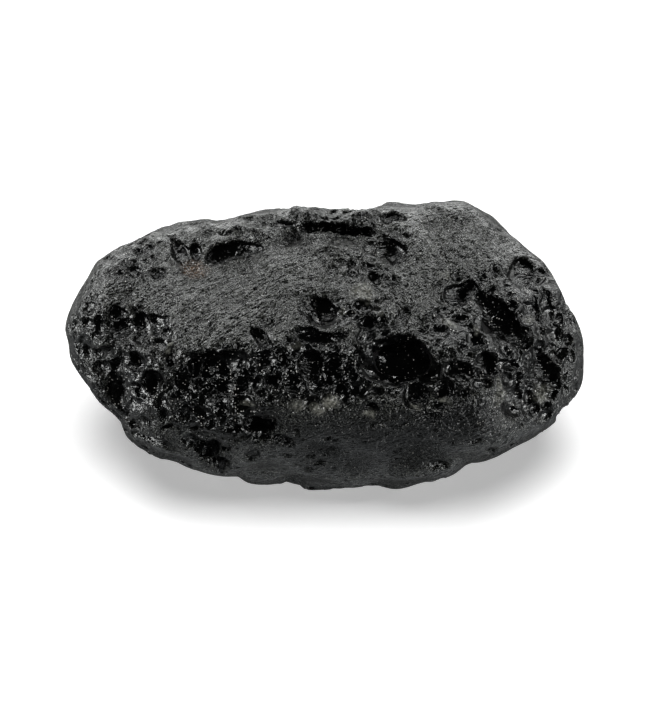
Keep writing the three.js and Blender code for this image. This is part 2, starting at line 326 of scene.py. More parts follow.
# Hollows with evenly curved floors, no steeper at one rim than at the other: the same six numbers.
HOLLOW_ROUNDNESS = 0.9
HOLLOWS = [
    [-4.6, 15.2, 1.6, 1.9, -25, 1.1],
    [-8.6, 17.0, 3.0, 0.6, 4, 0.5],
    [8.0, 9.2, 1.4, 0.9, 0, 0.4],
    [-33.6, -0.4, 0.35, 1.6, 8, 0.25],
    [-32.4, -3.9, 0.3, 2.2, 20, 0.7],
    [-31.3, -5.3, 0.3, 1.9, 30, 0.7],
    [-30.4, -7.4, 0.25, 1.6, 38, 0.6],
    [-33.9, 2.8, 0.4, 1.2, -5, 0.4],
    [33.4, -1.8, 0.4, 1.6, -5, 0.5],
    [32.4, -4.2, 0.35, 1.8, -10, 0.5],
    [33.6, -4.9, 0.25, 1.6, -15, 0.4],
    [32.6, -7.0, 0.3, 1.4, -35, 0.4],
    [31.9, 5.2, 0.6, 0.9, 20, 0.5],
]

# The black hollow under the brow, which is deepest near its lower rim: the same six numbers. Its
# depth is uneven by this share, over about this many millimetres.
UNDERCUT_LEAN = -1.0
UNDERCUT_UNEVENNESS = 0.22
UNDERCUT_PATCH = 1.3
UNDERCUT = [
    [10.4, -1.2, 4.4, 3.0, -22, 2.6],
    [13.6, -3.2, 2.4, 2.0, -20, 1.8],
    [7.0, -2.6, 2.6, 2.2, 8, 2.0],
    [9.8, -4.0, 3.4, 1.4, -4, 1.4],
    [8.4, 0.6, 2.2, 1.3, 20, 1.2],
]

# Ridges that stand up between the pits: the same six numbers, with the height last. Their
# roundness is above 1, so their feet run out gently.
RIDGE_ROUNDNESS = 1.5
RIDGES = [
    [-21.4, -0.4, 1.0, 0.3, 60, 0.4],
    [-27.3, -3.9, 2.6, 0.35, -75, 0.35],
    [-21.8, -4.9, 1.9, 0.35, 80, 0.35],
    [-18.8, 9.3, 0.8, 0.2, -20, 0.25],
    [-4.1, 0.2, 1.2, 1.0, 0, 0.4],
    [-1.6, -8.6, 3.6, 0.8, 8, 0.45],
    [0.9, -7.6, 1.2, 1.0, 0, 0.5],
    [-4.4, -8.2, 1.5, 0.8, 0, 0.35],
    [5.3, 1.3, 0.4, 0.8, -25, 0.5],
    [23.5, -5.8, 3.3, 0.45, 86, 0.55],
    [13.6, -5.4, 0.5, 0.8, 0, 0.3],
    [20.7, 2.7, 0.5, 1.0, 10, 0.4],
    [26.8, -4.3, 0.9, 1.4, -30, 0.35],
    [27.7, 10.0, 0.9, 0.3, 65, 0.35],
    [4.8, 7.8, 1.6, 1.2, 0, 0.3],
    [-9.8, 15.6, 4.0, 0.7, -6, 0.45],
    [-5.8, 14.8, 1.4, 0.35, -55, 0.35],
    [-3.6, 13.4, 1.6, 0.4, 5, 0.3],
    [-0.6, 11.4, 1.5, 0.3, -48, 0.4],
    [0.6, 12.2, 2.0, 0.3, 0, 0.25],
    [7.8, 11.2, 1.6, 0.25, -15, 0.3],
    [2.3, 5.1, 0.5, 0.4, 0, 0.5],
    [5.7, 6.3, 0.5, 0.35, 0, 0.5],
    [7.2, 4.4, 0.5, 0.25, 0, 0.4],
    [-2.3, 17.5, 1.6, 1.0, 0, 0.55],
    [-3.4, 17.0, 0.35, 1.0, -10, 0.5],
    [4.3, 17.6, 1.6, 1.0, 20, 0.4],
    [5.9, 16.9, 1.6, 0.35, 28, 0.45],
    [3.0, 16.9, 0.9, 0.3, 35, 0.4],
    [1.0, 14.7, 3.4, 0.4, 0, 0.25],
    [1.0, 13.1, 2.6, 0.4, 8, 0.25],
]

# Broad swells of the outline, out or in: the same six numbers. They reach round to the far side.
SWELLS = [
    [-32.2, -5.0, 6.5, 2.4, -62, 0.9],
    [3.0, 19.4, 5.5, 1.8, 0, -1.0],
    [4.8, 18.2, 3.0, 1.0, 0, 0.5],
    [-3.4, 18.4, 1.6, 1.0, 0, 0.5],
    [-18.0, 16.4, 3.4, 1.4, 6, 0.7],
    [16.5, 18.8, 5.5, 2.0, 0, 0.6],
    [25.6, 14.0, 5.5, 2.6, -47, -0.6],
    [34.2, 2.4, 6.0, 3.0, 84, 0.6],
    [-33.4, 7.0, 5.4, 3.2, 68, -0.7],
    [-24.2, -13.2, 5.0, 2.4, -30, 1.1],
    [-9.2, -18.2, 3.0, 1.5, 0, 0.5],
    [-4.6, -18.8, 1.8, 1.4, 0, -0.7],
    [13.0, -17.6, 6.5, 2.2, 10, 1.2],
]

# Broken ground, rough and covered by small pits: the same six numbers, the last from 0 to 1.
BROKEN_GROUND = [
    [-26.5, 2.2, 6.5, 3.6, -12, 0.25],
    [-26.0, -5.6, 5.2, 5.6, 10, 0.7],
    [-14.5, -4.6, 8.5, 4.4, 4, 1.0],
    [-1.5, -3.6, 9.0, 5.2, 0, 1.0],
    [10.5, -2.4, 7.0, 5.2, -18, 0.6],
    [-13.5, -9.6, 8.5, 4.0, -10, 0.9],
    [24.0, 2.4, 10.5, 6.8, -38, 0.7],
    [28.2, -5.2, 5.0, 6.6, 0, 1.0],
    [18.0, -3.2, 5.5, 3.6, 0, 0.7],
    [17.6, 1.6, 4.4, 3.4, -10, 0.8],
    [27.6, 7.2, 5.0, 5.0, -30, 0.8],
    [0.5, 5.0, 3.6, 2.6, -15, 0.6],
    [5.0, 8.4, 4.8, 4.2, 0, 0.35],
    [0.5, 16.9, 8.5, 1.7, 0, 0.45],
    [8.0, 13.4, 3.2, 2.2, -10, 0.5],
    [-18.6, 13.4, 2.4, 1.6, 0, 0.4],
    [-27.0, 11.0, 4.8, 3.2, 40, 0.6],
    [33.0, -1.0, 2.2, 8.5, 0, 0.6],
    [-33.0, 2.5, 2.2, 6.5, -12, 0.6],
    [-30.5, -8.5, 5.5, 1.5, -52, 0.5],
]

# The small pits of broken ground: how many to a square millimetre, then their smallest and largest
# radius and their depth as a share of the radius.
PITS_PER_MM2 = 0.5
BROKEN_PITS = [0.4, 1.25, 0.6]
# Unevenness of the ground, each as how high and over how many millimetres. The first two are on
# broken ground only, and where that is steep the first is lower by LESS_WHERE_STEEP.
BROKEN_WAVES = (0.42, 1.6)
LESS_WHERE_STEEP = 0.30
BROKEN_RIPPLES = (0.09, 0.8)
WAVES = (0.07, 1.8)
BROAD_WAVES = (0.24, 4.5)

# Smooth ground, with fine flow lines: the same six numbers, the last from 0 to 1.
SMOOTH_GROUND = [
    [5.0, -13.0, 14.0, 4.6, 3, 1.0],
    [15.0, -11.6, 9.0, 3.6, 12, 1.0],
    [19.4, -9.0, 3.6, 3.2, 0, 0.8],
    [26.8, -4.3, 0.8, 1.3, -30, 0.8],
    [-4.2, 14.8, 1.6, 1.4, 0, 0.8],
    [-31.0, -6.2, 0.6, 3.4, 27, 0.7],
]

# Pale patches, partly dust and rough glass and partly painted highlights on lit ridges and on the
# lit lips and floors of pits, and a rust-brown stain: the same six numbers, the last from 0 to 1.
DUST_AND_HIGHLIGHTS = [
    [4.8, 7.5, 1.7, 1.4, 0, 0.8],
    [2.3, 5.1, 0.6, 0.4, 0, 1.0],
    [5.7, 6.3, 0.5, 0.35, 0, 1.0],
    [7.2, 4.4, 0.6, 0.3, 0, 0.7],
    [0.9, -7.6, 1.3, 1.0, 0, 0.9],
    [-1.4, -8.5, 1.2, 0.7, 0, 0.7],
    [-3.8, -8.2, 1.0, 0.6, 0, 0.7],
    [16.4, 3.2, 1.1, 0.7, 0, 0.7],
    [20.7, 2.7, 0.5, 0.9, 10, 0.7],
    [27.7, 3.7, 0.9, 0.7, 0, 0.5],
    [29.2, -6.6, 1.3, 2.0, -20, 0.6],
    [23.3, -6.2, 0.4, 2.6, -5, 0.6],
    [-10.7, -7.6, 1.1, 0.7, 0, 0.6],
    [-21.4, -0.4, 1.0, 0.3, 60, 0.9],
    [16.6, 9.6, 0.7, 0.4, 0, 0.8],
    [-4.0, 0.2, 1.2, 0.9, 0, 0.35],
    [12.4, -8.5, 1.0, 0.5, -10, 0.9],
    [15.9, -7.3, 0.9, 0.35, 0, 0.9],
    [5.9, -9.6, 1.2, 0.35, -4, 1.0],
    [-0.9, -8.6, 0.8, 0.4, 0, 0.9],
]
RUST = [[-17.9, 10.7, 2.3, 1.6, -12, 1.0]]

# Small pits scattered over the shown side: [right, up, half length, half width, turn, how many,
# smallest radius, largest radius, depth as a share of the radius]. Scattered pits of the shown side
# are deeper towards their upper rim by this share.
SCATTERED_LEAN = 0.6
SCATTERS = [
    [-26.5, 2.2, 6.2, 3.2, -12, 14, 0.22, 0.4, 0.8],
    [-26.0, -5.6, 4.8, 5.4, 10, 34, 0.22, 0.45, 0.8],
    [-14.5, -4.6, 8.0, 4.0, 4, 60, 0.22, 0.45, 0.8],
    [-1.5, -3.6, 8.5, 4.8, 0, 70, 0.22, 0.45, 0.8],
    [10.5, -2.4, 6.5, 4.8, -18, 16, 0.22, 0.45, 0.8],
    [-12.5, -10.4, 7.5, 3.6, -14, 60, 0.22, 0.5, 0.7],
    [24.0, 2.4, 10.0, 6.2, -38, 60, 0.22, 0.5, 0.8],
    [28.6, -4.6, 4.6, 6.0, 0, 34, 0.22, 0.5, 0.8],
    [18.0, -3.2, 5.2, 3.4, 0, 20, 0.22, 0.45, 0.8],
    [32.8, -1.0, 1.8, 7.0, 0, 30, 0.25, 0.6, 0.5],
    [-32.6, 2.0, 1.6, 6.0, -12, 30, 0.25, 0.6, 0.5],
    [5.0, 8.4, 4.4, 3.8, 0, 40, 0.2, 0.5, 0.5],
    [0.5, 16.9, 9.5, 1.6, 0, 30, 0.25, 0.6, 0.6],
    [-19.5, 12.6, 5.0, 2.8, 0, 22, 0.2, 0.5, 0.5],
    [-27.5, 10.2, 5.0, 3.6, 40, 34, 0.2, 0.5, 0.45],
    [-14.0, 7.0, 12.0, 6.0, 0, 26, 0.12, 0.25, 0.4],
    [16.0, 12.5, 8.0, 4.5, 0, 26, 0.12, 0.3, 0.4],
    [7.0, -13.6, 15.0, 4.0, 4, 90, 0.14, 0.36, 0.45],
]

# Pits scattered over the hidden sides, large, middling and small: [how many, smallest radius,
# largest radius, depth as a share of the radius].
HIDDEN_PITS = [
    [190, 1.0, 2.6, 0.75],
    [700, 0.45, 1.0, 0.85],
    [1500, 0.22, 0.5, 0.8],
]

# Ground that faces the viewer by more than the first is on the shown side, and by less than the
# second on the hidden sides, so the two overlap. By less than the third it is well behind the
# outline. Each is a cosine. No hidden pit is lower than STARTS_ABOVE, where the stone rests.
ON_SHOWN_SIDE = 0.12
ON_HIDDEN_SIDE = 0.16
WELL_BEHIND = -0.1
STARTS_ABOVE = 0.6


# ---- The fine mesh -------------------------------------------------------------------------
def welded(obj):
    """A CAD node's corners in millimetres, each once, and its triangles."""
    mesh = obj.data
    mesh.calc_loop_triangles()
    co = np.empty(len(mesh.vertices) * 3)
    mesh.vertices.foreach_get("co", co)
    tri = np.empty(len(mesh.loop_triangles) * 3, np.int32)
    mesh.loop_triangles.foreach_get("vertices", tri)
    co = co.reshape(-1, 3) / MM
    _, first, which = np.unique(
        np.round(co, 3), axis=0, return_index=True, return_inverse=True
    )
    faces = which.reshape(-1)[tri].reshape(-1, 3)
    keep = (faces[:, 0] != faces[:, 1]) & (faces[:, 1] != faces[:, 2]) & (faces[:, 2] != faces[:, 0])
    return co[first], faces[keep]


def summed(which, values, count):
    """Adds up rows of values that belong to the same item."""
    return np.stack([np.bincount(which, values[:, k], count) for k in range(3)], 1)


def divided(points, faces):
    """One round of Loop's subdivision: each triangle becomes four, on a smoother surface."""
    n = len(points)
    start = np.concatenate([faces[:, 0], faces[:, 1], faces[:, 2]]).astype(np.int64)
    end = np.concatenate([faces[:, 1], faces[:, 2], faces[:, 0]]).astype(np.int64)
    opposite = np.concatenate([faces[:, 2], faces[:, 0], faces[:, 1]])
    keys, which = np.unique(
        np.minimum(start, end) * n + np.maximum(start, end), return_inverse=True
    )
    a, b = keys // n, keys % n
    across = summed(which, points[opposite], len(keys))
    middles = 0.375 * (points[a] + points[b]) + 0.125 * across
    ends = np.concatenate([a, b])
    valence = np.bincount(ends, minlength=n)
    around = summed(ends, points[np.concatenate([b, a])], n)
    share = np.where(valence == 3, 3 / 16, 3 / (8 * np.maximum(valence, 1)))
    corners = points * (1 - valence * share)[:, None] + around * share[:, None]
    f = len(faces)
    ab, bc, ca = (which[k * f : (k + 1) * f] + n for k in range(3))
    fa, fb, fc = faces.T
    new_faces = np.concatenate(
        [
            np.stack([fa, ab, ca], 1),
            np.stack([fb, bc, ab], 1),
            np.stack([fc, ca, bc], 1),
            np.stack([ab, bc, ca], 1),
        ]
    )
    return np.concatenate([corners, middles]), new_faces


def normals_of(points, faces):
    """Unit normals at the corners, weighted by the areas of the triangles round them."""
    a, b, c = (points[faces[:, k]] for k in range(3))
    face_normals = np.cross(b - a, c - a)
    total = sum(summed(faces[:, k], face_normals, len(points)) for k in range(3))
    return total / np.maximum(np.linalg.norm(total, axis=1), 1e-12)[:, None]


# ---- Noise ---------------------------------------------------------------------------------
def lattice_noise(points, size, seed):
    """Smooth noise from -1 to 1 that changes over about size millimetres."""
    scaled = points / size + 100.0
    cell = np.floor(scaled).astype(np.int64)
    part = scaled - cell
    part = part * part * (3 - 2 * part)
    total = np.zeros(len(points))
    for corner in range(8):
        step = np.array([corner & 1, corner >> 1 & 1, corner >> 2 & 1])
        at = cell + step
        key = (at[:, 0] * 73856093 ^ at[:, 1] * 19349663 ^ at[:, 2] * 83492791) + seed * 7919
        key = (key ^ (key >> 13)) * 1274126177 & 0x7FFFFFFF
        value = ((key ^ (key >> 16)) & 0xFFFF) / 32767.5 - 1
        weight = np.prod(np.where(step, part, 1 - part), axis=1)
        total += value * weight
    return total


# ---- Carving -------------------------------------------------------------------------------
def smoothstep(x, low, high):
    """0 up to low, 1 from high on, and a smooth rise between. High may be the lower of the two."""
    t = np.clip((x - low) / (high - low), 0, 1)
    return t * t * (3 - 2 * t)


def shown_place(points, normals):
    """Where points show, right and up of the middle in millimetres, and how far each faces."""
    from_middle = points - MIDDLE
    depth = from_middle @ TOWARDS
    nearness = SHOWN_FROM_DISTANCE / (SHOWN_FROM_DISTANCE - depth)
    eye = MIDDLE + TOWARDS * SHOWN_FROM_DISTANCE
    ray = eye - points
    ray /= np.linalg.norm(ray, axis=1)[:, None]
    facing = (normals * ray).sum(1)
    return from_middle @ RIGHT * nearness, from_middle @ UP * nearness, facing


def wandered(points, right, up):
    """The same places, each moved a little, so that marks given as ellipses get uneven rims."""
    return (
        right + 0.55 * lattice_noise(points, 2.2, 11) + 0.22 * lattice_noise(points, 0.8, 12),
        up + 0.55 * lattice_noise(points, 2.2, 13) + 0.22 * lattice_noise(points, 0.8, 14),
    )


def inside_of(mark, right, up):
    """1 at the middle of an elliptical mark, 0 at its rim and less beyond."""
    angle = math.radians(mark[4])
    across, above = right - mark[0], up - mark[1]
    along = (across * math.cos(angle) + above * math.sin(angle)) / mark[2]
    aside = (above * math.cos(angle) - across * math.sin(angle)) / mark[3]
    return 1 - along**2 - aside**2


def above_lower_rim(mark, inside, up):
    """0 along a mark's lower rim, 1 at its middle and 2 at the top of its upper rim."""
    turn = math.radians(mark[4])
    reach = math.hypot(mark[2] * math.sin(turn), mark[3] * math.cos(turn))
    height = (up - mark[1]) / reach
    return np.clip(np.sqrt(np.maximum(inside + height**2, 0)) + height, 0, 2)


def bowl(inside, roundness):
    """A pit's profile, 1 at the middle and 0 at the rim."""
    return np.maximum(inside, 0) ** roundness


class Carver:
    """Presses round pits into a mesh, each about the place of one of its corners. Where lean is
    above 0, a pit is deeper towards its upper rim."""

    def __init__(self, points, normals, random, lean):
        self.points, self.normals, self.random, self.lean = points, normals, random, lean
        self.tree = kdtree.KDTree(len(points))
        for i, p in enumerate(points):
            self.tree.insert(p, i)
        self.tree.balance()
        self.depth = np.zeros(len(points))

    def pit(self, at, radius, depth, stretch, roundness=0.8):
        """Presses one pit, longer one way than the other by the stretch, turned at random."""
        centre, normal = self.points[at], self.normals[at]
        found = self.tree.find_range(centre, radius * stretch)
        index = np.fromiter((f[1] for f in found), np.int64, len(found))
        offset = self.points[index] - centre
        turn = self.random.normal(size=3)
        along = np.cross(normal, turn)
        along /= np.linalg.norm(along) + 1e-9
        aside = np.cross(normal, along)
        t = (offset @ along / (radius * stretch)) ** 2 + (offset @ aside / radius) ** 2
        same_way = smoothstep(self.normals[index] @ normal, 0.1, 0.6)
        leaning = 1 + self.lean[at] * (offset @ UP) / (radius * stretch)
        value = depth * bowl(1 - t, roundness) * same_way * leaning
        self.depth[index] = np.maximum(self.depth[index], value)

    def scatter(self, choices, count, smallest, largest, share):
        """Scatters pits over the given corners, most of them near the smallest radius."""
        if len(choices) == 0:
            return
        for _ in range(count):
            at = choices[self.random.integers(len(choices))]
            radius = smallest + (largest - smallest) * self.random.random() ** 2
            depth = radius * share * self.random.uniform(0.6, 1.1)
            self.pit(at, radius, depth, self.random.uniform(1.0, 1.4))


class Stone:
    """The stone while it is carved, with what is known at each of its corners: where it shows, how
    far it faces the viewer, how far it is on the shown side, how steep it is, and a patchy noise."""

    def __init__(self, points, faces):
        self.points, self.faces = points, faces
        self.random = np.random.default_rng(SEED)
        self.normals = normals_of(points, faces)
        self.right, self.up, self.facing = shown_place(points, self.normals)
        self.shown = smoothstep(self.facing, 0.1, 0.35)
        self.swell()
        self.normals = normals_of(self.points, faces)
        right, up, self.facing = shown_place(self.points, self.normals)
        self.right, self.up = wandered(self.points, right, up)
        self.steep = smoothstep(self.normals[:, 2], 0.75, 0.35)
        self.patchy = lattice_noise(self.points, 13.0, 3) + 0.5 * lattice_noise(self.points, 6.0, 4)

    def swell(self):
        """Moves the outline out and in. The swells fade only well behind it."""
        fade = smoothstep(self.facing, -0.7, -0.2)
        for mark in SWELLS:
            swell = mark[5] * smoothstep(inside_of(mark, self.right, self.up), 0, 1) * fade
            self.points = self.points + self.normals * swell[:, None]

    def marked(self, marks, roundness, lean=0.0):
        """The deepest of a list of marks at each corner, as far as it is on the shown side. The
        roundness and the lean are each one number, or one for each corner."""
        roundness = np.broadcast_to(roundness, len(self.points))
        lean = np.broadcast_to(lean, len(self.points))
        deepest = np.zeros(len(self.points))
        weight = smoothstep(self.facing, -0.1, 0.2)
        seen = np.flatnonzero(weight > 0)
        right, up, weight = self.right[seen], self.up[seen], weight[seen]
        for mark in marks:
            inside = inside_of(mark, right, up)
            hit = np.flatnonzero(inside > 0)
            at = seen[hit]
            value = mark[5] * bowl(inside[hit], roundness[at]) * weight[hit]
            height = above_lower_rim(mark, inside[hit], up[hit])
            value *= np.where(lean[at] < 0, 2 - height, height) ** np.abs(lean[at])
            deepest[at] = np.maximum(deepest[at], value)
        return deepest

    def carver(self):
        self.normals = normals_of(self.points, self.faces)
        return Carver(self.points, self.normals, self.random, SCATTERED_LEAN * self.shown)

    def within(self, mark, unevenness):
        """The corners of the shown side that are inside a mark, with an uneven rim."""
        inside = inside_of(mark, self.right, self.up) + unevenness * self.patchy
        return np.flatnonzero((inside > 0) & (self.facing > ON_SHOWN_SIDE))

    def hidden(self, patchiness):
        """Which corners are on the hidden sides, all but some patches and the ground it rests on."""
        above = self.points[:, 2] > STARTS_ABOVE
        return above & (self.facing < ON_HIDDEN_SIDE) & (self.patchy > patchiness)

    def press_large(self):
        """The large pits and hollows, those marked on the shown side and others over the rest, and
        the ridges and uneven ground between them."""
        depth, roundness, lean = (
            level + (steep - level) * self.steep
            for level, steep in (PIT_DEPTH, PIT_ROUNDNESS, PIT_LEAN)
        )
        pressed = self.marked(PITS, roundness, lean) * depth
        undercut = self.marked(UNDERCUT, HOLLOW_ROUNDNESS, UNDERCUT_LEAN)
        undercut *= 1 + UNDERCUT_UNEVENNESS * lattice_noise(self.points, UNDERCUT_PATCH, 9)
        hollows = np.maximum(self.marked(HOLLOWS, HOLLOW_ROUNDNESS), undercut)
        raised = self.marked(RIDGES, RIDGE_ROUNDNESS)

        # The largest pits of the hidden sides stay away from the outline.
        carver = self.carver()
        hidden = self.hidden(-0.25)
        carver.scatter(np.flatnonzero(hidden & (self.facing < WELL_BEHIND)), *HIDDEN_PITS[0])
        carver.scatter(np.flatnonzero(hidden), *HIDDEN_PITS[1])
        for mark in BROKEN_GROUND:
            count = int(PITS_PER_MM2 * math.pi * mark[2] * mark[3] * mark[5])
            carver.scatter(self.within(mark, unevenness=0.12), count, *BROKEN_PITS)
        large = np.maximum(pressed, carver.depth)

        self.broken = self.marked(BROKEN_GROUND, roundness=0.6)
        broken_behind = (1 - self.shown) * np.clip(0.35 + 0.5 * self.patchy, 0, 0.8)
        self.broken = np.maximum(self.broken, broken_behind)
        self.points = self.points - self.normals * (np.maximum(large, hollows) - raised)[:, None]
        self.points = self.points + self.normals * self.unevenness()[:, None]
        self.pressed = np.maximum(large, undercut)

    def unevenness(self):
        """How far the ground stands up or down between the pits."""
        height = BROKEN_WAVES[0] - LESS_WHERE_STEEP * self.steep
        uneven = height * self.broken * lattice_noise(self.points, BROKEN_WAVES[1], 5)
        uneven += BROKEN_RIPPLES[0] * self.broken * lattice_noise(self.points, BROKEN_RIPPLES[1], 6)
        uneven += WAVES[0] * lattice_noise(self.points, WAVES[1], 8)
        return uneven + BROAD_WAVES[0] * lattice_noise(self.points, BROAD_WAVES[1], 7)

    def press_small(self):
        """Small pits, on the surface that the large ones leave."""
        carver = self.carver()
        for mark in SCATTERS:
            carver.scatter(self.within(mark, unevenness=0.15), *mark[5:])
        carver.scatter(np.flatnonzero(self.hidden(-0.6)), *HIDDEN_PITS[2])
        self.points = self.points - self.normals * carver.depth[:, None]
        self.points[:, 2] = np.maximum(self.points[:, 2], 0)
        self.pressed = self.pressed + 0.5 * carver.depth

    def measures(self):
        """What the material needs to know: how deep in a pit each corner is, in millimetres, and
        what its ground is like, from 0 to 1."""
        return {
            "pit": self.pressed,
            "broken": self.broken,
            "smooth": self.marked(SMOOTH_GROUND, roundness=0.5),
            # Pale dust, and painted highlights on lit ridges and pit lips.
            "dust_and_highlights": self.marked(DUST_AND_HIGHLIGHTS, roundness=0.7),
            "rust": self.marked(RUST, roundness=0.8),
        }


def stone_mesh():
    """A Blender mesh of the carved stone, in metres, with its measures as attributes."""
    points, faces = welded(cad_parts["tektite"])
    for _ in range(ROUNDS_OF_DIVIDING):
        points, faces = divided(points, faces)
    stone = Stone(points, faces)
    stone.press_large()
    stone.press_small()
    mesh = bpy.data.meshes.new("tektite_stone")
    mesh.vertices.add(len(points))
    mesh.vertices.foreach_set("co", (stone.points * MM).ravel())
    mesh.loops.add(len(faces) * 3)
    mesh.polygons.add(len(faces))
    mesh.loops.foreach_set("vertex_index", faces.astype(np.int32).ravel())
    mesh.polygons.foreach_set("loop_start", np.arange(len(faces), dtype=np.int32) * 3)
    mesh.update(calc_edges=True)
    for name, values in stone.measures().items():
        attribute = mesh.attributes.new(name, "FLOAT", "POINT")
        attribute.data.foreach_set("value", values.astype(np.float32))
    return mesh


def build_stone():
    stone = bpy.data.objects.new("tektite_stone", stone_mesh())
    bpy.context.scene.collection.objects.link(stone)
    decimate = stone.modifiers.new("fewer_triangles", "DECIMATE")
    decimate.ratio = min(1.0, MOST_TRIANGLES / len(stone.data.polygons))
    bpy.context.view_layer.update()
    depsgraph = bpy.context.evaluated_depsgraph_get()
    done = bpy.data.meshes.new_from_object(stone.evaluated_get(depsgraph))
    stone.modifiers.clear()
    stone.data = done
    done.name = "tektite_stone"
    done.shade_smooth()
    return stone


# ---- Material ------------------------------------------------------------------------------
GLASS_DARK = (0.0006, 0.0007, 0.0008, 1)
GLASS_LESS_DARK = (0.0022, 0.0023, 0.0021, 1)
# Pale specks: partly chipped glass, partly painted glints.
CHIP_AND_GLINT_COLOUR = (0.50, 0.49, 0.46, 1)
# Partly pale grit, partly painted sparkle of the skin's grains.
GRIT_AND_SPARKLE_COLOUR = (0.075, 0.077, 0.070, 1)
# Partly pale dust, partly painted highlights on lit ridges and pit lips.
DUST_AND_HIGHLIGHT_COLOUR = (0.20, 0.20, 0.175, 1)
RUST_COLOUR = (0.095, 0.054, 0.028, 1)
GLASS_IOR = 1.5

# How high each of the skin's fine shapes stands, in millimetres.
LUMP_HEIGHT = 0.50
GRAIN_HEIGHT = 0.14
LINE_HEIGHT = 0.34
SMOOTH_LINE_HEIGHT = 0.60
FLAKE_HEIGHT = 0.09
RIPPLE_HEIGHT = 0.024

# How far grains of sound skin and flakes of broken ground are turned, as a share of the normal.
GRAIN_TURN = 0.40
FLAKE_TURN = 0.9

# Flow lines are this long and this wide, and are turned by these angles.
FLOW_SIZE = (1.1, 0.38, 0.38)
FLOW_TURN = (0, math.radians(-20), math.radians(30))

# The pits' ripples: radians to a millimetre upwards, to a millimetre of depth, and of wandering.
RIPPLES_UP = 14.0
RIPPLES_DEEP = 12.0
RIPPLES_WANDER = 12.0


class Nodes:
    """Short ways to add and join shader nodes. An input can be a number, a colour or a socket."""

    def __init__(self, tree):
        self.tree = tree
        self.count = 0

    def add(self, kind, settings=None, **inputs):
        """Adds a node. Inputs go by name, or by place as _0, _1 and so on."""
        node = self.tree.nodes.new(kind)
        self.count += 1
        node.location = (-180 * (self.count % 12), -260 * (self.count // 12))
        for name, value in (settings or {}).items():
            setattr(node, name, value)
        for name, value in inputs.items():
            key = int(name[1:]) if name[0] == "_" else name.replace("_", " ")
            if isinstance(value, bpy.types.NodeSocket):
                self.tree.links.new(value, node.inputs[key])
            else:
                node.inputs[key].default_value = value
        return node

    def math(self, operation, *values, clamp=False):
        """A sum, product or the like. More than two values are taken one after the other."""
        result = values[0]
        for value in values[1:] or (0.0,):
            settings = {"operation": operation, "use_clamp": clamp}
            result = self.add("ShaderNodeMath", settings, _0=result, _1=value).outputs[0]
        return result

    def product(self, *values):
        return self.math("MULTIPLY", *values)

    def total(self, *values):
        return self.math("ADD", *values)

    def without(self, value, clamp=False):
        """1 less the value."""
        return self.math("SUBTRACT", 1.0, value, clamp=clamp)

    def vector(self, operation, a, b=(0, 0, 0)):
        node = self.add("ShaderNodeVectorMath", {"operation": operation}, _0=a, _1=b)
        return node.outputs["Value" if operation == "DOT_PRODUCT" else "Vector"]

    def scaled(self, vector, scale):
        settings = {"operation": "SCALE"}
        return self.add("ShaderNodeVectorMath", settings, _0=vector, Scale=scale).outputs[0]

    def ramp(self, value, low, high, out_low=0.0, out_high=1.0):
        """A smooth step from out_low to out_high as the value goes from low to high."""
        settings = {"interpolation_type": "SMOOTHSTEP"}
        inputs = {"_0": value, "_1": low, "_2": high, "_3": out_low, "_4": out_high}
        return self.add("ShaderNodeMapRange", settings, **inputs).outputs[0]

    def noise(self, where, scale, detail=2.0, roughness=0.5):
        inputs = {"Vector": where, "Scale": scale, "Detail": detail, "Roughness": roughness}
        return self.add("ShaderNodeTexNoise", **inputs).outputs[0]

    def cells(self, where, scale):
        """Voronoi cells: a colour drawn for each, and the distance from its middle."""
        outputs = self.add("ShaderNodeTexVoronoi", Vector=where, Scale=scale).outputs
        return outputs["Color"], outputs["Distance"]

    def channel(self, colour, which):
        return self.add("ShaderNodeSeparateColor", Color=colour).outputs[which]

    def measure(self, name):
        return self.add("ShaderNodeAttribute", {"attribute_name": name}).outputs["Fac"]

    def over(self, below, colour, amount):
        """One colour laid over another, by an amount from 0 to 1."""
        inputs = {"A": below, "B": colour, "Factor": amount}
        return self.add("ShaderNodeMix", {"data_type": "RGBA"}, **inputs).outputs["Result"]


class Skin:
    """What the parts of the material share: places in millimetres and what the ground is like."""

    def __init__(self, n):
        place = n.add("ShaderNodeTexCoord").outputs["Object"]
        self.mm = n.scaled(place, 1 / MM)
        self.pit = n.measure("pit")
        self.broken = n.measure("broken")
        self.smooth = n.measure("smooth")
        # Where pale dust is, and where highlights are painted on lit ridges and pit lips.
        self.dust_and_highlights = n.measure("dust_and_highlights")
        self.rust = n.measure("rust")
        self.in_pit = n.ramp(self.pit, 0.10, 0.60)
        self.sound = n.without(n.product(self.broken, 0.80), clamp=True)

        # Pits and smooth ground are less rugged, pits in broken ground least.
        calm_pit = n.product(self.in_pit, n.total(n.product(self.broken, 0.45), 0.45))
        calm = n.math("MAXIMUM", calm_pit, n.product(self.smooth, 0.65))
        self.rugged = n.without(calm, clamp=True)

        # Flow lines rise a little to the right.
        stretched = n.add("ShaderNodeMapping", {"vector_type": "TEXTURE"}, Vector=self.mm)
        stretched.inputs["Rotation"].default_value = FLOW_TURN
        stretched.inputs["Scale"].default_value = FLOW_SIZE
        self.along_flow = stretched.outputs[0]
        self.flow = n.noise(self.along_flow, scale=1.1)


def pit_ripples(n, skin):
    """Fine ripples, one above the other, round the floors of some of the pits, from -1 to 1."""
    upwards = n.product(n.vector("DOT_PRODUCT", skin.mm, tuple(UP)), RIPPLES_UP)
    deeper = n.product(skin.pit, RIPPLES_DEEP)
    wander = n.product(n.noise(skin.mm, scale=0.9), RIPPLES_WANDER)
    some = n.ramp(n.noise(skin.mm, scale=0.35, detail=1.0), 0.44, 0.58)
    return n.product(n.math("SINE", n.total(upwards, deeper, wander)), some)


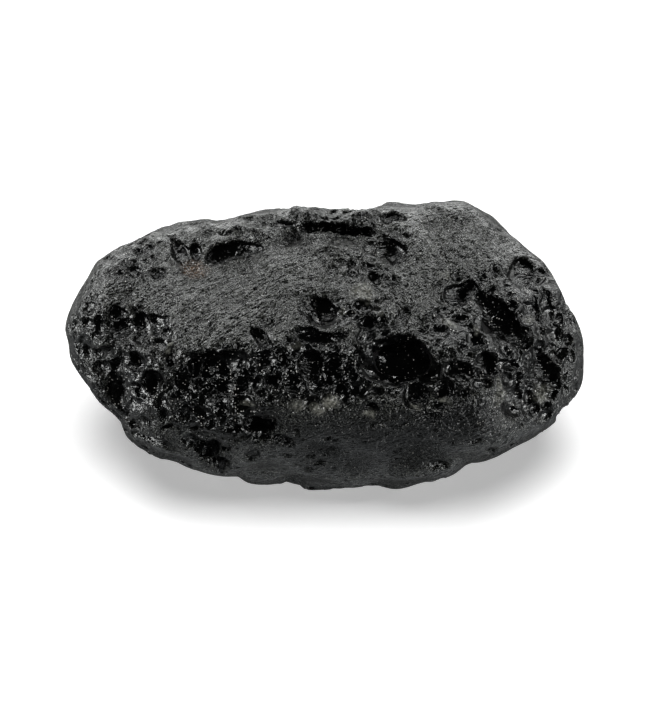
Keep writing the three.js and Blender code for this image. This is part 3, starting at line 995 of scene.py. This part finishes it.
def skin_height(n, skin):
    """How high the skin stands, in millimetres."""
    lumps = n.noise(skin.mm, scale=0.9, detail=1.0, roughness=0.4)
    lumps = n.product(lumps, skin.sound, LUMP_HEIGHT)
    grain = n.product(n.noise(skin.mm, scale=3.0, detail=1.0, roughness=0.45), GRAIN_HEIGHT)
    lines = n.product(skin.flow, skin.sound, LINE_HEIGHT)
    weathered = n.product(n.total(lumps, grain, lines), skin.rugged)
    smooth_lines = n.product(skin.flow, skin.smooth, SMOOTH_LINE_HEIGHT)
    flakes = n.noise(skin.along_flow, scale=1.9, roughness=0.6)
    flakes = n.product(flakes, skin.broken, FLAKE_HEIGHT)
    ripples = n.product(pit_ripples(n, skin), skin.in_pit, RIPPLE_HEIGHT)
    return n.total(weathered, smooth_lines, flakes, ripples)


def skin_normal(n, skin):
    """The bumps above, and on them fine grains and flakes, each turned its own way, so that some
    of them catch the light."""
    height = skin_height(n, skin)
    bump = n.add("ShaderNodeBump", Strength=1.0, Distance=MM, Height=height).outputs[0]

    fine, _ = n.cells(skin.mm, 3.8)
    coarse, _ = n.cells(skin.mm, 1.7)
    turned = n.vector("SUBTRACT", n.vector("ADD", fine, coarse), (1, 1, 1))
    grains = n.scaled(turned, n.product(skin.sound, GRAIN_TURN, skin.rugged))

    # About a quarter of the cells on broken ground are flakes.
    cells, _ = n.cells(skin.mm, 3.7)
    picked = n.ramp(n.channel(cells, 2), 0.72, 0.76)
    picked = n.product(picked, skin.broken, FLAKE_TURN, n.without(skin.in_pit))
    flakes = n.scaled(n.vector("SUBTRACT", cells, (0.5, 0.5, 0.5)), picked)
    return n.vector("NORMALIZE", n.vector("ADD", n.vector("ADD", bump, grains), flakes))


def skin_roughness(n, skin):
    rough = n.total(n.product(n.noise(skin.mm, scale=1.2, detail=3.0), 0.14), 0.14)
    rough = n.math("SUBTRACT", rough, n.product(skin.broken, 0.06), n.product(skin.smooth, 0.04))
    # Seen nearly edge-on, the weathered skin is duller.
    edge_on = n.add("ShaderNodeLayerWeight", Blend=0.5).outputs["Facing"]
    return n.total(rough, n.ramp(edge_on, 0.55, 0.88, 0.0, 0.60))


def skin_colour(n, skin):
    cloud = n.noise(skin.mm, scale=0.16, detail=3.0)
    colour = n.over(GLASS_DARK, GLASS_LESS_DARK, n.ramp(cloud, 0.35, 0.65))

    # Pale specks, partly chipped glass and partly painted glints, most of them on broken ground and
    # among the dust and painted highlights.
    drawn, distance = n.cells(skin.mm, 2.9)
    chips_and_glints = n.product(n.ramp(n.channel(drawn, 0), 0.62, 0.70), n.ramp(distance, 0.32, 0.20))
    patches = n.ramp(n.noise(skin.mm, scale=0.9), 0.44, 0.62)
    where = n.product(patches, n.total(n.product(skin.broken, 0.55), 0.45))
    where = n.math("MAXIMUM", where, n.product(skin.dust_and_highlights, 0.8))
    colour = n.over(colour, CHIP_AND_GLINT_COLOUR, n.product(chips_and_glints, where))

    # Grit: fine pale grains all over the sound skin, outside the pits, partly real grit and partly
    # painted sparkle standing in for grains that catch the light.
    drawn, _ = n.cells(skin.mm, 6.5)
    bare = n.math("MAXIMUM", n.product(skin.broken, 1.3), skin.smooth)
    ground = n.product(n.without(bare, clamp=True), n.without(skin.in_pit))
    grit_and_sparkle = n.product(n.ramp(n.channel(drawn, 1), 0.45, 1.0), ground)
    colour = n.over(colour, GRIT_AND_SPARKLE_COLOUR, grit_and_sparkle)

    # Pale patches in a few places, partly dust and partly painted highlights on lit ridges and pit
    # lips, and one rust-brown stain, both of them patchy.
    patches = n.ramp(n.noise(skin.mm, scale=2.6), 0.40, 0.62, 0.25, 1.0)
    colour = n.over(colour, DUST_AND_HIGHLIGHT_COLOUR, n.product(skin.dust_and_highlights, patches))
    return n.over(colour, RUST_COLOUR, n.product(skin.rust, patches))


def stone_material():
    material = bpy.data.materials.new("tektite_skin")
    material.use_nodes = True
    tree = material.node_tree
    tree.nodes.clear()
    n = Nodes(tree)
    skin = Skin(n)
    shader = n.add(
        "ShaderNodeBsdfPrincipled",
        Base_Color=skin_colour(n, skin),
        Roughness=skin_roughness(n, skin),
        Normal=skin_normal(n, skin),
        IOR=GLASS_IOR,
    )
    n.add("ShaderNodeOutputMaterial", Surface=shader.outputs[0])
    return material


# ---- Stage ---------------------------------------------------------------------------------
# The stage is in metres.
FLOOR_HALF = 3.0
# The floor is this far under the stone's flat patch, so that the two don't coincide.
FLOOR_BELOW = 0.0001
BACKDROP_RADIUS = 2.9

# The lights that the stone reflects, and that light nothing else: name, place, width and height,
# and brightness, which is the same for any size. They all face one spot.
LIT_SPOT = (0, 0, 0.02)
LIGHT_COLOUR = (0.985, 1.0, 0.99)
LIGHTS = [
    ("softbox_behind", (0.0, 0.36, 0.67), (1.4, 0.16), 6.1),
    ("softbox_low_behind", (0.0, 0.85, 0.20), (1.6, 0.50), 3.1),
    ("strip_behind", (0.0, 0.60, 0.50), (1.2, 0.03), 22.0),
    ("softbox_side_left", (-0.72, 0.05, 0.24), (0.5, 0.34), 13.0),
    ("softbox_side_right", (0.72, 0.05, 0.30), (0.5, 0.45), 4.0),
    ("softbox_front_right", (0.60, -0.36, 0.05), (0.30, 0.14), 24.0),
]

# The soft light above, which lights the floor: how strong, how wide and how far tilted forwards.
ABOVE_STRENGTH = 2.6
ABOVE_WIDTH = math.radians(42)
ABOVE_TILT = math.radians(14)

# The glow of the room: everywhere, well below the horizon, and below the horizon at either side.
ROOM_COLOUR = (0.95, 0.985, 1.0, 1)
ROOM_GLOW = 0.012
GLOW_BELOW = 0.38
GLOW_BESIDE = 0.40

# The picture's height at the stone's distance, and how far right of and below the middle of the
# marks the camera aims, in millimetres.
PICTURE_HEIGHT = 95.05
AIM_RIGHT = 0.81
AIM_BELOW = 0.68


def pale_material(name, glow):
    material = bpy.data.materials.new(name)
    material.use_nodes = True
    shader = material.node_tree.nodes["Principled BSDF"]
    shader.inputs["Base Color"].default_value = (0.9, 0.9, 0.9, 1)
    shader.inputs["Roughness"].default_value = 0.9
    shader.inputs["Specular IOR Level"].default_value = 0.0
    shader.inputs["Emission Color"].default_value = (1, 1, 1, 1)
    shader.inputs["Emission Strength"].default_value = glow
    return material


def build_floor():
    """A pale floor, which the stone doesn't reflect: the room's glow stands in for it."""
    mesh = bpy.data.meshes.new("floor")
    half = FLOOR_HALF
    corners = [(-half, -half, 0), (half, -half, 0), (half, half, 0), (-half, half, 0)]
    mesh.from_pydata(corners, [], [(0, 1, 2, 3)])
    floor = bpy.data.objects.new("floor", mesh)
    bpy.context.scene.collection.objects.link(floor)
    floor.location.z = -FLOOR_BELOW
    mesh.materials.append(pale_material("pale_floor", 0.38))
    floor.visible_glossy = False


def build_backdrop():
    """A white backdrop all round, which only the camera sees."""
    mesh = bpy.data.meshes.new("backdrop")
    form = bmesh.new()
    bmesh.ops.create_uvsphere(form, u_segments=48, v_segments=24, radius=BACKDROP_RADIUS)
    form.to_mesh(mesh)
    form.free()
    backdrop = bpy.data.objects.new("backdrop", mesh)
    bpy.context.scene.collection.objects.link(backdrop)
    backdrop.visible_diffuse = False
    backdrop.visible_glossy = False
    backdrop.visible_transmission = False
    backdrop.visible_shadow = False
    mesh.materials.append(pale_material("pale_backdrop", 1.0))


def turned_to(place, aim):
    """The rotation of a camera or a light that looks from one place to another."""
    return (Vector(aim) - Vector(place)).to_track_quat("-Z", "Y").to_euler()


def build_lights():
    for name, place, size, brightness in LIGHTS:
        data = bpy.data.lights.new(name, "AREA")
        data.shape = "RECTANGLE"
        data.size, data.size_y = size
        data.energy = brightness * math.pi * size[0] * size[1]
        data.color = LIGHT_COLOUR
        light = bpy.data.objects.new(name, data)
        bpy.context.scene.collection.objects.link(light)
        light.location = place
        light.rotation_euler = turned_to(place, LIT_SPOT)
        light.visible_camera = False
        light.visible_diffuse = False
    data = bpy.data.lights.new("soft_light_above", "SUN")
    data.energy = ABOVE_STRENGTH
    data.angle = ABOVE_WIDTH
    above = bpy.data.objects.new("soft_light_above", data)
    bpy.context.scene.collection.objects.link(above)
    above.rotation_euler = (ABOVE_TILT, 0, 0)
    above.visible_glossy = False


def build_room():
    """A dim room. Below the horizon it glows as the floor would, more at its sides."""
    world = bpy.data.worlds.new("pale_room")
    bpy.context.scene.world = world
    world.use_nodes = True
    n = Nodes(world.node_tree)
    direction = n.add("ShaderNodeTexCoord").outputs["Generated"]
    parts = n.add("ShaderNodeSeparateXYZ", Vector=direction).outputs
    below = n.ramp(parts["Z"], -0.30, 0.06, 1.0, 0.0)
    well_below = n.ramp(parts["Z"], -0.88, -0.50, GLOW_BELOW, 0.0)
    at_right = n.ramp(parts["X"], 0.15, 0.75, 0.0, GLOW_BESIDE)
    at_left = n.ramp(parts["X"], -0.35, -0.85, 0.0, GLOW_BESIDE)
    beside = n.product(below, n.total(at_right, at_left))
    background = world.node_tree.nodes["Background"]
    background.inputs["Color"].default_value = ROOM_COLOUR
    strength = n.total(beside, well_below, ROOM_GLOW)
    world.node_tree.links.new(strength, background.inputs["Strength"])


def build_camera():
    """A camera where the marks are given from, aimed so that the stone is a little left of the
    picture's middle and above it."""
    data = bpy.data.cameras.new("camera")
    data.sensor_width = 36.0
    data.lens = data.sensor_width * SHOWN_FROM_DISTANCE / PICTURE_HEIGHT
    data.clip_start, data.clip_end = 0.01, 20.0
    camera = bpy.data.objects.new("camera", data)
    bpy.context.scene.collection.objects.link(camera)
    aim = MIDDLE + RIGHT * AIM_RIGHT - UP * AIM_BELOW
    place = aim + TOWARDS * SHOWN_FROM_DISTANCE
    camera.location = place * MM
    camera.rotation_euler = turned_to(place, aim)
    bpy.context.scene.camera = camera


stone = build_stone()
stone.data.materials.append(stone_material())
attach(stone, "root")
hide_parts("tektite")
build_floor()
build_backdrop()
build_lights()
build_room()
build_camera()

view = bpy.context.scene.view_settings
view.view_transform = "Standard"
view.look = "Medium High Contrast"
